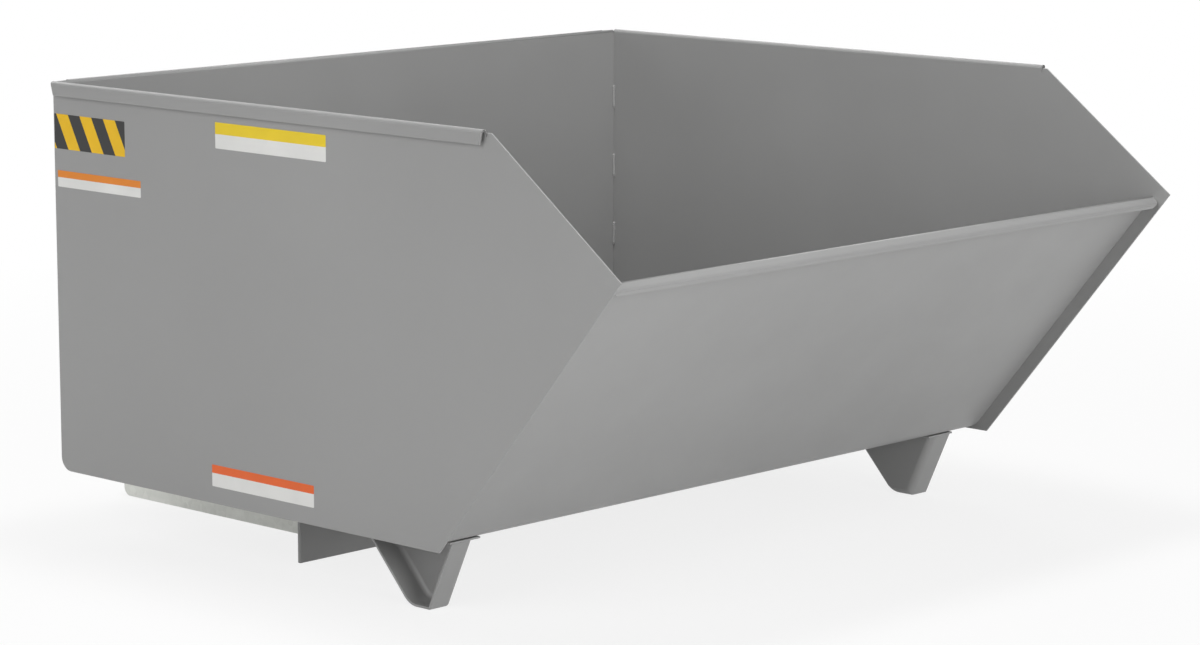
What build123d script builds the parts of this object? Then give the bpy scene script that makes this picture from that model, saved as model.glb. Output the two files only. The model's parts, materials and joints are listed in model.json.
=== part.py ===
from build123d import *
import os
from math import acos, asin, atan2, cos, degrees, hypot, radians, sin, tan

# A self-dumping hopper: a sheet-steel body that tips forward on a low base with two fork pockets.
# Sizes are in millimetres.  +X points forward, the way it dumps, +Y to the hopper's left and +Z up.
# The origin is on the ground, under the middle of the whole hopper.

# Body
sheet = 3.0  # thickness of the body's sheet steel
body_width = 1302.0  # over the outside faces of the two side panels
body_height = 635.0  # bottom edge of a side panel to the top of its rim
ground_clearance = 110.0  # ground to the bottom edge of the side panels
rim_reach = 992.0  # rear edge to where the sloping top edge would meet the level of the rim
lip_reach = 1253.0  # rear edge to the front corner of a side panel
lip_height = 441.0  # bottom edge to that front corner
bottom_length = 885.0  # rear edge to the front end of the bottom edge
rear_corner_radius = 23.0  # rounding of a side panel's lower rear corner
front_bend_radius = 42.0  # outside of the bend between floor and chute
seam_inset = 2.0  # rear wall and floor lie this far inside the side panels' edges
chute_inset = 22.0  # the chute lies this far behind the side panels' front edges
chute_top_gap = 25.0  # the chute ends this far short of the side panels' front corners

# Folded rims
rim_width = 8.5  # how far a rim stands out from its wall
rim_drop = 22.5  # height of a rim's outer flange
rim_fold_radius = 5.5  # outside of a fold
rim_end_gap = 4.0  # a side rim starts and ends this far inside its edge
rim_mitre = 14.0  # slope of a rim's ends, in degrees
rim_step = 5.0  # the corner ahead of the side rim lies this far below it
relief_depth = 6.0  # relief cut beside the front end of a side rim
relief_width = 1.5
rear_rim_end_gap = 30.0  # the rear rim ends this far inside the side panels' outside faces
lip_width = 22.0  # chute's inside face to the outside of the lip's flange
lip_drop = 8.5  # height of the lip's flange
lip_fold_radius = 7.5  # outside of the lip's front fold
lip_end_gap = 2.0  # side panel to the top end of the lip's flange
lip_mitre_run = 12.0  # how much shorter the lip's flange is at its bottom end

# Legs
leg_inset = 60.0  # side panel's outside face to the open side of a leg
leg_depth = 46.0  # web to the open side of a leg
leg_sheet = 4.0
leg_front = 851.0  # rear edge of the body to the front end of a leg's top
leg_top_length = 195.0
leg_foot_setback = 50.0  # front end of a leg's top back to the front of its foot
leg_foot_length = 44.0
leg_heel_radius = 36.0
leg_toe_radius = 14.0
leg_bend_radius = 12.0  # outside, between web and flanges
pad_thickness = 3.0
pad_rear_margin = 14.0
pad_front_margin = 1.0
pad_outboard_margin = 5.0
pad_inboard_margin = 12.0

# Fork channels of the base
base_overhang = 178.0  # how far the base reaches behind the side panels' rear edges
fork_channel_width = 190.0
fork_channel_height = 76.0
fork_channel_sheet = 4.0
fork_channel_bend = 9.0
fork_channel_spacing = 566.0  # between the middles of the two channels
fork_corner_radius = 15.0
strap_width = 50.0
strap_thickness = 6.0
rear_strap_setback = 36.0  # rear end of a channel to its rear strap
front_strap_setback = 60.0  # front cross plate to the front straps

# Front cross plate
plate_front = 430.0  # rear edge of the body to the plate's front face
plate_thickness = 6.0
plate_end_inset = 133.0  # side panel's outside face to the end of the plate
plate_top_gap = 8.0  # plate to the floor's underside
plate_sill = 20.0  # plate left standing below each fork opening

# Rear cross tube
tube_rear_setback = 25.0  # rear end of the channels to the tube
tube_depth = 60.0
tube_height = 30.0
tube_wall = 3.0
tube_corner = 5.0

# Dump hinge
hinge_reach = 25.0  # front cross plate to the hinge axis
hinge_height = 70.0  # ground to the hinge axis
hinge_end_inset = 80.0  # end of the front cross plate to the middle of a hinge
hinge_pin_diameter = 20.0
hinge_pin_head = 30.0
hinge_pin_head_thickness = 6.0
running_clearance = 0.05  # radial, between a pin and its holes
side_clearance = 0.3  # between pieces that turn past each other
bush_wall = 4.0
bush_proud = 1.0
lug_thickness = 12.0
lug_radius = 23.0
lug_length = 110.0  # hinge axis to the front end of a lug
lug_heel_start = 30.0
lug_heel_end = 92.0
stop_gap = 0.5  # lug's heel to the front cross plate at full dump
ear_thickness = 8.0
ear_margin = 22.0  # hinge axis to the edges of an ear
ear_corner = 9.0  # clip of an ear's free corners
hinge_pad_thickness = 6.0
hinge_pad_width = 110.0
hinge_pad_rear = 40.0
hinge_pad_front = 130.0
washer_room = 3.0  # left on a pin's shank for a washer
pin_tail = 12.0  # shank past that washer
split_pin_hole = 4.1  # diameter of the hole across that tail

# Rest bumpers
bumper_ahead = 90.0  # rear edge of the body to the bumpers' middle
bumper_diameter = 50.0

# Latch
striker_diameter = 16.0
striker_behind = 40.0  # rear edge of the body back to the striker bar
striker_height = 180.0  # ground to the striker bar
striker_length = 104.0
bracket_thickness = 6.0
bracket_height = 60.0  # along the rear wall
bracket_margin = 15.0  # striker bar's middle to the rear end of a bracket
bracket_corner = 7.0  # clip of a bracket's rear corners
latch_pin_height = 88.0
latch_pin_diameter = 12.0
latch_pin_head = 20.0
latch_pin_head_thickness = 5.0
latch_bush_wall = 3.0
cheek_thickness = 6.0
cheek_margin = 15.0  # latch pin to the edges of a cheek
cheek_corner = 6.0  # clip of a cheek's free corners
lever_thickness = 10.0
lever_width = 28.0
lever_hub_radius = 16.0
lever_length = 300.0  # latch pin to the top of the lever
latch_open_angle = 16.0  # the lever stands open by this much, in degrees
hook_clearance = 4.0  # play between the hook and the striker bar
hook_thickness = 16.0
hook_overlap = 2.0  # degrees that the hook reaches past the striker bar
hook_root = 14.0  # degrees that the hook runs back into the lever
hook_tip_radius = 4.0
grip_length = 112.0
grip_wall = 5.5
grip_cap = 6.0
grip_clearance = 0.1
grip_edge = 4.0

# Places worked out from these sizes
overall_length = base_overhang + lip_reach
rear_x = base_overhang - overall_length / 2
half_width = body_width / 2
inner_half = half_width - sheet
body_top = ground_clearance + body_height
floor_under = ground_clearance + seam_inset
floor_inside = floor_under + sheet
wall_outside = rear_x + seam_inset
wall_inside = wall_outside + sheet
fork_middle = fork_channel_spacing / 2
fork_inner_width = fork_channel_width - 2 * fork_channel_sheet
fork_inner_top = fork_channel_height - fork_channel_sheet
base_rear_x = rear_x - base_overhang
plate_front_x = rear_x + plate_front
plate_rear_x = plate_front_x - plate_thickness
plate_width = body_width - 2 * plate_end_inset
hinge_x = plate_front_x + hinge_reach
hinge_y = plate_width / 2 - hinge_end_inset
tube_rear_x = base_rear_x + tube_rear_setback
tube_front_x = tube_rear_x + tube_depth
tube_top = fork_channel_height + tube_height

# The open lever leans back on the rounded top edge of the rear cross tube; that sets the place of its pin.
lean = radians(latch_open_angle)
tube_edge_rise = tube_top - tube_corner - latch_pin_height
lever_seat = lever_width / 2 + tube_corner + side_clearance
latch_pin_ahead = (lever_seat + tube_edge_rise * sin(lean)) / cos(lean) - tube_corner
latch_x = tube_front_x + latch_pin_ahead
striker_x = rear_x - striker_behind

# Directions in the side view: along the chute, and out of its underside
chute_run = lip_reach - bottom_length
chute_length = hypot(chute_run, lip_height)
along = Vector(chute_run / chute_length, lip_height / chute_length)
outward = Vector(along.Y, -along.X)

os.makedirs("parts", exist_ok=True)


def save(piece, name):
    """Labels a finished piece and writes it as a STEP file."""
    piece.label = name
    export_step(piece, f"parts/{name}.step")


def mirrored(piece):
    """The same piece for the hopper's other side."""
    with BuildPart() as other:
        mirror(piece, about=Plane.XZ)
    return other.part


def save_pair(piece, name):
    """Writes a piece made for the right side, and its mirror image for the left."""
    save(piece, f"{name}_right")
    save(mirrored(piece), f"{name}_left")


def folded(points, radii, thickness, side):
    """Section of a bent sheet: one face follows the points, the thickness lies to one side of them."""
    with BuildSketch() as section:
        with BuildLine():
            FilletPolyline(*points, radius=radii)
            offset(amount=thickness, side=side)
        make_face()
    return section.sketch


def side_plane(y):
    """Side view at this width, drawn in X and Z; it extrudes towards the hopper's right."""
    return Plane.XZ.offset(-y)


# Side panels: flat sheet with a rim folded outwards along the level part of the top edge.
slope_run = (lip_reach - rim_reach) / (body_height - lip_height)
panel_top = body_top - rim_step
corner_x = rear_x + rim_reach + rim_step * slope_run
rim_start_x = rear_x + rim_end_gap
rim_end_x = rear_x + rim_reach - rim_end_gap
relief_z = panel_top - relief_depth
mitre_run = rim_drop * tan(radians(rim_mitre))
rim_face = half_width + rim_width

with BuildPart() as side_panel:
    with BuildSketch(side_plane(-inner_half)):
        with BuildLine():
            Polyline(
                (rear_x, ground_clearance),
                (rear_x + bottom_length, ground_clearance),
                (rear_x + lip_reach, ground_clearance + lip_height),
                (corner_x, panel_top),
                (rim_end_x + relief_width, panel_top),
                (rim_end_x + relief_width, relief_z),
                (rear_x, relief_z),
                close=True,
            )
        face = make_face()
        fillet(face.vertices().sort_by_distance((rear_x, ground_clearance))[0], rear_corner_radius)
    extrude(amount=sheet)
    with BuildSketch(Plane.YZ.offset(rim_start_x)):
        rim_points = [
            (-inner_half, relief_z - rim_drop),
            (-inner_half, body_top),
            (-rim_face, body_top),
            (-rim_face, body_top - rim_drop),
        ]
        add(folded(rim_points, [rim_fold_radius, rim_fold_radius], sheet, Side.LEFT))
    extrude(amount=rim_end_x - rim_start_x)
    with BuildSketch(side_plane(-half_width)):
        for end_x, inward in ((rim_start_x, 1), (rim_end_x, -1)):
            with BuildLine():
                Polyline(
                    (end_x, body_top),
                    (end_x, body_top - rim_drop),
                    (end_x + inward * mitre_run, body_top - rim_drop),
                    close=True,
                )
            make_face()
    extrude(amount=rim_width, mode=Mode.SUBTRACT)
save_pair(side_panel.part, "side_panel")

# Body wrap: one sheet bent into rear wall, floor, chute and lip, with a folded rear rim.
lip_corner = Vector(rear_x + lip_reach, ground_clearance + lip_height)
chute_depth = chute_inset + sheet
chute_top = lip_corner - along * chute_top_gap - outward * chute_depth
lip_front = chute_top + outward * lip_width
lip_bottom = lip_front - along * lip_drop
rise_to_floor = (chute_top.Y - floor_inside) / along.Y
bend_x = chute_top.X - along.X * rise_to_floor
rear_rim_x = wall_outside - rim_width
rear_rim_half = half_width - rear_rim_end_gap

with BuildPart() as body_wrap:
    with BuildSketch(Plane.XZ):
        wrap_points = [
            (rear_rim_x, body_top - rim_drop),
            (rear_rim_x, body_top),
            (wall_inside, body_top),
            (wall_inside, floor_inside),
            (bend_x, floor_inside),
            (chute_top.X, chute_top.Y),
            (lip_front.X, lip_front.Y),
            (lip_bottom.X, lip_bottom.Y),
        ]
        wrap_radii = [
            rim_fold_radius,
            rim_fold_radius,
            rear_corner_radius - seam_inset - sheet,
            front_bend_radius - sheet,
            rim_fold_radius,
            lip_fold_radius,
        ]
        add(folded(wrap_points, wrap_radii, sheet, Side.RIGHT))
    extrude(amount=inner_half, both=True)
    with BuildSketch(Plane.YZ.offset(rear_rim_x)):
        for hand in (1, -1):
            with BuildLine():
                Polyline(
                    (hand * rear_rim_half, body_top),
                    (hand * half_width, body_top),
                    (hand * half_width, body_top - rim_drop),
                    (hand * (rear_rim_half - mitre_run), body_top - rim_drop),
                    close=True,
                )
            make_face()
    extrude(amount=rim_width, mode=Mode.SUBTRACT)
    lip_origin = (lip_front.X, 0, lip_front.Y)
    lip_plane = Plane(origin=lip_origin, x_dir=(0, 1, 0), z_dir=(outward.X, 0, outward.Y))
    with BuildSketch(lip_plane):
        for hand in (1, -1):
            top_end = inner_half - lip_end_gap
            with BuildLine():
                Polyline(
                    (hand * top_end, 0),
                    (hand * half_width, 0),
                    (hand * half_width, -lip_drop),
                    (hand * (top_end - lip_mitre_run), -lip_drop),
                    close=True,
                )
            make_face()
    extrude(amount=-lip_fold_radius, mode=Mode.SUBTRACT)
save(body_wrap.part, "body_wrap")

# Leg pads and legs: a thin plate under the floor, and a pressed V-shaped pan with its web inboard.
leg_top = floor_under - pad_thickness
leg_open_y = -(half_width - leg_inset)
leg_web_y = leg_open_y + leg_depth
leg_front_x = rear_x + leg_front
leg_rear_x = leg_front_x - leg_top_length
toe_x = leg_front_x - leg_foot_setback
pad_front_x = leg_front_x + pad_front_margin
pad_rear_x = leg_rear_x - pad_rear_margin

with BuildPart() as leg_pad:
    with BuildSketch(Plane.XY.offset(leg_top)):
        with BuildLine():
            Polyline(
                (pad_rear_x, leg_open_y - pad_outboard_margin),
                (pad_front_x, leg_open_y - pad_outboard_margin),
                (pad_front_x, leg_web_y + pad_inboard_margin),
                (pad_rear_x, leg_web_y + pad_inboard_margin),
                close=True,
            )
        make_face()
    extrude(amount=pad_thickness)
save_pair(leg_pad.part, "leg_pad")

rear_lean = (toe_x - leg_foot_length - leg_rear_x) / leg_top
front_lean = (leg_front_x - toe_x) / leg_top


def leg_block(top, inset):
    """A solid leg up to this height, its faces this far inside those of the leg, rounded around the web."""
    with BuildPart() as block:
        with BuildSketch(side_plane(leg_web_y - inset)):
            with BuildLine():
                Polyline(
                    (toe_x - leg_foot_length - rear_lean * top, top),
                    (toe_x - leg_foot_length, 0),
                    (toe_x, 0),
                    (toe_x + front_lean * top, top),
                    close=True,
                )
            face = make_face()
            feet = face.vertices().group_by(Axis.Y)[0].sort_by(Axis.X)
            fillet(feet[0], leg_heel_radius)
            fillet(feet[1], leg_toe_radius)
            if inset:
                offset(amount=-inset)
        extrude(amount=leg_depth)
        web = block.faces().filter_by(Axis.Y).sort_by(Axis.Y)[-1]
        fillet(web.edges().sort_by(Axis.Z)[:-1], leg_bend_radius - inset)
    return block.part


with BuildPart() as leg_pan:
    add(leg_block(leg_top, 0))
    add(leg_block(leg_top + 2 * leg_sheet, leg_sheet), mode=Mode.SUBTRACT)
save_pair(leg_pan.part, "leg_pan")

# Fork channels: open below, the lower rear corners of their walls rounded.
with BuildPart() as fork_channel:
    with BuildSketch(Plane.YZ.offset(base_rear_x)):
        channel_points = [
            (-fork_middle - fork_channel_width / 2, 0),
            (-fork_middle - fork_channel_width / 2, fork_channel_height),
            (-fork_middle + fork_channel_width / 2, fork_channel_height),
            (-fork_middle + fork_channel_width / 2, 0),
        ]
        add(folded(channel_points, [fork_channel_bend, fork_channel_bend], fork_channel_sheet, Side.RIGHT))
    extrude(amount=plate_rear_x - base_rear_x)
    rear_low = fork_channel.edges().filter_by(Axis.Y).group_by(Axis.X)[0].group_by(Axis.Z)[0]
    fillet(rear_low, fork_corner_radius)
save_pair(fork_channel.part, "fork_channel")

# Straps across the open underside of the fork channels.
strap_places = {
    "rear_strap": base_rear_x + rear_strap_setback,
    "front_strap": plate_rear_x - front_strap_setback - strap_width,
}
for strap_name, strap_x in strap_places.items():
    with BuildPart() as strap:
        with BuildSketch():
            with Locations((strap_x + strap_width / 2, -fork_middle)):
                Rectangle(strap_width, fork_inner_width)
        extrude(amount=strap_thickness)
    save_pair(strap.part, strap_name)

# Front cross plate, with an opening for each fork.
plate_top = floor_under - plate_top_gap
opening_height = fork_inner_top - plate_sill

with BuildPart() as front_cross_plate:
    with BuildSketch(Plane.YZ.offset(plate_rear_x)):
        with Locations((0, plate_top / 2)):
            Rectangle(plate_width, plate_top)
        with Locations((0, plate_sill + opening_height / 2)):
            with GridLocations(fork_channel_spacing, 0, 2, 1):
                Rectangle(fork_inner_width, opening_height, mode=Mode.SUBTRACT)
    extrude(amount=plate_thickness)
save(front_cross_plate.part, "front_cross_plate")

# Rear cross tube, lying across the fork channels behind the body.
tube_middle = (tube_rear_x + tube_depth / 2, tube_top - tube_height / 2)

with BuildPart() as rear_cross_tube:
    with BuildSketch(Plane.XZ):
        with Locations(tube_middle):
            RectangleRounded(tube_depth, tube_height, tube_corner)
            Rectangle(tube_depth - 2 * tube_wall, tube_height - 2 * tube_wall, mode=Mode.SUBTRACT)
    extrude(amount=fork_middle + fork_channel_width / 2, both=True)
save(rear_cross_tube.part, "rear_cross_tube")

# Dump hinge: lugs with a stop heel under the floor, turning between ears on the front cross plate.
pin_hole = hinge_pin_diameter / 2 + running_clearance
bush_radius = pin_hole + bush_wall
lug_top = floor_under - hinge_pad_thickness
lug_heel = hinge_height - hinge_reach + stop_gap

with BuildPart() as hinge_pad:
    with BuildSketch(Plane.XY.offset(lug_top)):
        with Locations((hinge_x + (hinge_pad_front - hinge_pad_rear) / 2, -hinge_y)):
            Rectangle(hinge_pad_front + hinge_pad_rear, hinge_pad_width)
    extrude(amount=hinge_pad_thickness)
save_pair(hinge_pad.part, "hinge_pad")

with BuildPart() as hinge_lug:
    with BuildSketch(side_plane(-hinge_y)):
        with Locations((hinge_x, hinge_height)):
            Circle(lug_radius)
        with BuildLine():
            Polyline(
                (hinge_x - lug_radius, lug_top),
                (hinge_x - lug_radius, hinge_height),
                (hinge_x, hinge_height - lug_radius),
                (hinge_x + lug_heel_start, lug_heel),
                (hinge_x + lug_heel_end, lug_heel),
                (hinge_x + lug_length, lug_top),
                close=True,
            )
        make_face()
        with Locations((hinge_x, hinge_height)):
            Circle(bush_radius + running_clearance, mode=Mode.SUBTRACT)
    extrude(amount=lug_thickness / 2, both=True)
save_pair(hinge_lug.part, "hinge_lug")

with BuildPart() as hinge_bush:
    with BuildSketch(side_plane(-hinge_y)):
        with Locations((hinge_x, hinge_height)):
            Circle(bush_radius)
            Circle(pin_hole, mode=Mode.SUBTRACT)
    extrude(amount=lug_thickness / 2 + bush_proud, both=True)
save_pair(hinge_bush.part, "hinge_bush")

ear_inner = lug_thickness / 2 + bush_proud + side_clearance
ear_outer = ear_inner + ear_thickness
ear_places = {"hinge_ear_outer": -hinge_y - ear_inner, "hinge_ear_inner": -hinge_y + ear_outer}
for ear_name, ear_y in ear_places.items():
    with BuildPart() as ear:
        with BuildSketch(side_plane(ear_y)) as ear_outline:
            with Locations((plate_front_x, hinge_height)):
                Rectangle(hinge_reach + ear_margin, 2 * ear_margin, align=(Align.MIN, Align.CENTER))
            chamfer(ear_outline.vertices().group_by(Axis.X)[-1], ear_corner)
            with Locations((hinge_x, hinge_height)):
                Circle(pin_hole, mode=Mode.SUBTRACT)
        extrude(amount=ear_thickness)
    save_pair(ear.part, ear_name)


def headed_pin(x, y, z, radius, head_radius, head_thickness, length, split_at):
    """A pin along Y: its head lies right of y and its shank runs left, cross-drilled at split_at."""
    with BuildPart() as pin:
        with BuildSketch(side_plane(y)):
            with Locations((x, z)):
                Circle(head_radius)
        extrude(amount=head_thickness)
        with BuildSketch(side_plane(y)):
            with Locations((x, z)):
                Circle(radius)
        extrude(amount=-length)
        with BuildSketch(Plane.XY.offset(z)):
            with Locations((x, y + split_at)):
                Circle(split_pin_hole / 2)
        extrude(amount=radius, both=True, mode=Mode.SUBTRACT)
    return pin.part


hinge_seat = -hinge_y - ear_outer
hinge_shank = 2 * ear_outer + washer_room + pin_tail
hinge_split = 2 * ear_outer + washer_room + split_pin_hole / 2 + side_clearance
hinge_pin = headed_pin(
    hinge_x,
    hinge_seat,
    hinge_height,
    hinge_pin_diameter / 2,
    hinge_pin_head / 2,
    hinge_pin_head_thickness,
    hinge_shank,
    hinge_split,
)
save_pair(hinge_pin, "hinge_pin")

# Rest bumpers: rubber buffers on the fork channels, just clear of the floor.
bumper_x = rear_x + bumper_ahead
bumper_height = floor_under - fork_channel_height - side_clearance

with BuildPart() as rest_bumper:
    with BuildSketch(Plane.XY.offset(fork_channel_height)):
        with Locations((bumper_x, -fork_middle)):
            Circle(bumper_diameter / 2)
    extrude(amount=bumper_height)
save_pair(rest_bumper.part, "rest_bumper")

# Striker bar and its brackets on the rear wall.
striker_hole = striker_diameter / 2 + running_clearance
bracket_y = -striker_length / 2 + bracket_thickness
bracket_rear_x = striker_x - bracket_margin

with BuildPart() as striker_bracket:
    with BuildSketch(side_plane(bracket_y)) as bracket_outline:
        with BuildLine():
            Polyline(
                (wall_outside, striker_height - bracket_height / 2),
                (wall_outside, striker_height + bracket_height / 2),
                (bracket_rear_x, striker_height + bracket_margin),
                (bracket_rear_x, striker_height - bracket_margin),
                close=True,
            )
        make_face()
        chamfer(bracket_outline.vertices().group_by(Axis.X)[0], bracket_corner)
        with Locations((striker_x, striker_height)):
            Circle(striker_hole, mode=Mode.SUBTRACT)
    extrude(amount=bracket_thickness)
save_pair(striker_bracket.part, "striker_bracket")

with BuildPart() as striker_bar:
    with BuildSketch(Plane.XZ):
        with Locations((striker_x, striker_height)):
            Circle(striker_diameter / 2)
    extrude(amount=striker_length / 2, both=True)
save(striker_bar.part, "striker_bar")

# Latch: a lever between two cheeks; its hook reaches over the striker bar when the lever stands upright.
latch_hole = latch_pin_diameter / 2 + running_clearance
latch_bush_radius = latch_hole + latch_bush_wall
cheek_inner = lever_thickness / 2 + bush_proud + side_clearance
cheek_outer = cheek_inner + cheek_thickness
latch_origin = (latch_x, 0, latch_pin_height)

with BuildPart() as latch_cheek:
    with BuildSketch(side_plane(-cheek_inner)) as cheek_outline:
        with Locations((tube_front_x, latch_pin_height)):
            Rectangle(latch_pin_ahead + cheek_margin, 2 * cheek_margin, align=(Align.MIN, Align.CENTER))
        chamfer(cheek_outline.vertices().group_by(Axis.X)[-1], cheek_corner)
        with Locations((latch_x, latch_pin_height)):
            Circle(latch_hole, mode=Mode.SUBTRACT)
    extrude(amount=cheek_thickness)
save_pair(latch_cheek.part, "latch_cheek")

striker_far = hypot(striker_x - latch_x, striker_height - latch_pin_height)
striker_angle = degrees(atan2(striker_height - latch_pin_height, striker_x - latch_x))
striker_half_angle = degrees(asin(striker_diameter / 2 / striker_far))
hook_inner = striker_far + striker_diameter / 2 + hook_clearance
hook_outer = hook_inner + hook_thickness
hook_start = striker_angle - striker_half_angle - hook_overlap
lever_edge_angle = degrees(acos(lever_width / 2 / hook_outer))
hook_sweep = lever_edge_angle + hook_root - hook_start

# The lever is drawn as it stands when it holds the striker bar, on a plane that leans back by the open angle.
lever_plane = Plane(origin=latch_origin, x_dir=(cos(lean), 0, sin(lean)), z_dir=(0, -1, 0))

with BuildPart() as latch_lever:
    with BuildSketch(lever_plane) as latch_lever_outline:
        Circle(lever_hub_radius)
        Rectangle(lever_width, lever_length, align=(Align.CENTER, Align.MIN))
        with BuildLine():
            inner_arc = CenterArc((0, 0), hook_inner, hook_start, hook_sweep)
            outer_arc = CenterArc((0, 0), hook_outer, hook_start, hook_sweep)
            Line(inner_arc @ 0, outer_arc @ 0)
            Line(inner_arc @ 1, outer_arc @ 1)
        make_face()
        for corner in (inner_arc @ 0, outer_arc @ 0):
            fillet(latch_lever_outline.vertices().sort_by_distance(corner)[0], hook_tip_radius)
        Circle(latch_bush_radius + running_clearance, mode=Mode.SUBTRACT)
    extrude(amount=lever_thickness / 2, both=True)
save(latch_lever.part, "latch_lever")

with BuildPart() as latch_bush:
    with BuildSketch(lever_plane):
        Circle(latch_bush_radius)
        Circle(latch_hole, mode=Mode.SUBTRACT)
    extrude(amount=lever_thickness / 2 + bush_proud, both=True)
save(latch_bush.part, "latch_bush")

# Grip: a moulded sleeve, closed on top, pushed over the top of the lever.
grip_foot = lever_length + grip_clearance + grip_cap - grip_length
lever_axis = Plane(origin=latch_origin, x_dir=(0, 1, 0), z_dir=(-sin(lean), 0, cos(lean)))

with BuildPart() as latch_grip:
    with BuildSketch(lever_axis.offset(grip_foot)):
        RectangleRounded(lever_thickness + 2 * grip_wall, lever_width + 2 * grip_wall, grip_edge)
    extrude(amount=grip_length)
    top_face = latch_grip.faces().sort_by(Axis.Z)[-1]
    chamfer(top_face.edges(), grip_edge / 2)
    with BuildSketch(lever_axis.offset(grip_foot)):
        Rectangle(lever_thickness + 2 * grip_clearance, lever_width + 2 * grip_clearance)
    extrude(amount=grip_length - grip_cap, mode=Mode.SUBTRACT)
save(latch_grip.part, "latch_grip")

latch_seat = -cheek_outer
latch_shank = 2 * cheek_outer + washer_room + pin_tail
latch_split = 2 * cheek_outer + washer_room + split_pin_hole / 2 + side_clearance
latch_pin = headed_pin(
    latch_x,
    latch_seat,
    latch_pin_height,
    latch_pin_diameter / 2,
    latch_pin_head / 2,
    latch_pin_head_thickness,
    latch_shank,
    latch_split,
)
save(latch_pin, "latch_pin")
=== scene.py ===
import json
import math

import bmesh
import bpy
from mathutils import Matrix, Vector


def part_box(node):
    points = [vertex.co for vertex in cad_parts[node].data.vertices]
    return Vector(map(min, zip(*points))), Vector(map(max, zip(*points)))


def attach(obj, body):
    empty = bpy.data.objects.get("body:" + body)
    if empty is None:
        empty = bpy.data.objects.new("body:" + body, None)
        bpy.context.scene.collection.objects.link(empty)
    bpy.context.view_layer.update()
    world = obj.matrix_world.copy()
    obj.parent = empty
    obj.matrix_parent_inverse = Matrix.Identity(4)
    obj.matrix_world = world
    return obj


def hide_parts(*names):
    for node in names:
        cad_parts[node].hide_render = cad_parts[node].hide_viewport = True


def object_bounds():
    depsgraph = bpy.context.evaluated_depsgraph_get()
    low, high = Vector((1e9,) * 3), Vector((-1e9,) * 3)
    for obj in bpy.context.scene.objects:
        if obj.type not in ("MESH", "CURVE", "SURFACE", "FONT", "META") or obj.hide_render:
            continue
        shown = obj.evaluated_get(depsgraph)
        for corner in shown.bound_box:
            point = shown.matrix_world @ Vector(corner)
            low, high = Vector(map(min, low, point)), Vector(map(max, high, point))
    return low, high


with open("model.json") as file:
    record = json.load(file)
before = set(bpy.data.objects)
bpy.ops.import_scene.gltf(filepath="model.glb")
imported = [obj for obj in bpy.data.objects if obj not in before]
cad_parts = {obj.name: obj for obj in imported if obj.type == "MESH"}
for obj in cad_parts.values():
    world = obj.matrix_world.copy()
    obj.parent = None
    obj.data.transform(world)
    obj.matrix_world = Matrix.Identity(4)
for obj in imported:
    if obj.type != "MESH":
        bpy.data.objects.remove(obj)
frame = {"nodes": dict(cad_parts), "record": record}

# The looks of a self-dumping hopper.  Lengths are in metres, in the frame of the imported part:
# +X forward, the way it dumps, +Y to the hopper's left, +Z up from the ground.
MM = 0.001
X, Y, Z = Vector((1, 0, 0)), Vector((0, 1, 0)), Vector((0, 0, 1))
SIDES = ("right", "left")
MERGE = 0.01 * MM  # points closer than this are one point
TURNED_STEPS = 48  # facets round a turned shape
cad_low, cad_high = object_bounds()

# Viewpoint, fitted to the photograph
PHOTO_WIDTH = 1200  # pixels
FOCAL_PIXELS = 3813.0
SENSOR_WIDTH = 36.0
VIEW_AZIMUTH = 43.74  # degrees
VIEW_ELEVATION = 9.44  # degrees
VIEW_DISTANCE = 6.2
VIEW_AIM = Vector((0.0739, -0.0228, 0.3475))

# Places taken from the CAD pieces
SHEET = 3 * MM
SEAM_INSET = 2 * MM  # edge of a side panel to the outer face of the floor and of the rear wall
CHUTE_INSET = 22 * MM  # sloping edge of a side panel to the outer face of the chute
panel_low, panel_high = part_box("side_panel_right")
panel_points = [v.co for v in frame["nodes"]["side_panel_right"].data.vertices]
lip_corner = max(panel_points, key=lambda p: p.x)
bottom_corner = max((p for p in panel_points if p.z < panel_low.z + MM), key=lambda p: p.x)
inner_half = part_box("body_wrap")[1].y
half_width = inner_half + SHEET
wall_outside = panel_low.x + SEAM_INSET
wall_inside = wall_outside + SHEET
floor_under = panel_low.z + SEAM_INSET
floor_inside = floor_under + SHEET
chute_up = Vector((lip_corner.x - bottom_corner.x, 0, lip_corner.z - bottom_corner.z)).normalized()
chute_out = Vector((chute_up.z, 0, -chute_up.x))


# Finishes
def join(finish, source, target):
    """Links two sockets."""
    finish.node_tree.links.new(source, target)


def new_finish(name):
    """A material with a Principled shader."""
    finish = bpy.data.materials.new(name)
    finish.use_nodes = True
    nodes = finish.node_tree.nodes
    nodes.clear()
    output = nodes.new("ShaderNodeOutputMaterial")
    shader = nodes.new("ShaderNodeBsdfPrincipled")
    join(finish, shader.outputs["BSDF"], output.inputs["Surface"])
    return finish, shader.inputs


def object_place(finish, scale=(1.0, 1.0, 1.0), turn=(0.0, 0.0, 0.0)):
    """Object coordinates, stretched and turned by a Mapping node."""
    nodes = finish.node_tree.nodes
    place = nodes.new("ShaderNodeTexCoord")
    mapping = nodes.new("ShaderNodeMapping")
    mapping.inputs["Scale"].default_value = scale
    mapping.inputs["Rotation"].default_value = [math.radians(a) for a in turn]
    join(finish, place.outputs["Object"], mapping.inputs["Vector"])
    return mapping.outputs["Vector"]


def noise(finish, place, scale, detail):
    """Soft noise from 0 to 1."""
    node = finish.node_tree.nodes.new("ShaderNodeTexNoise")
    node.inputs["Scale"].default_value = scale
    node.inputs["Detail"].default_value = detail
    join(finish, place, node.inputs["Vector"])
    return node.outputs["Fac"]


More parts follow.
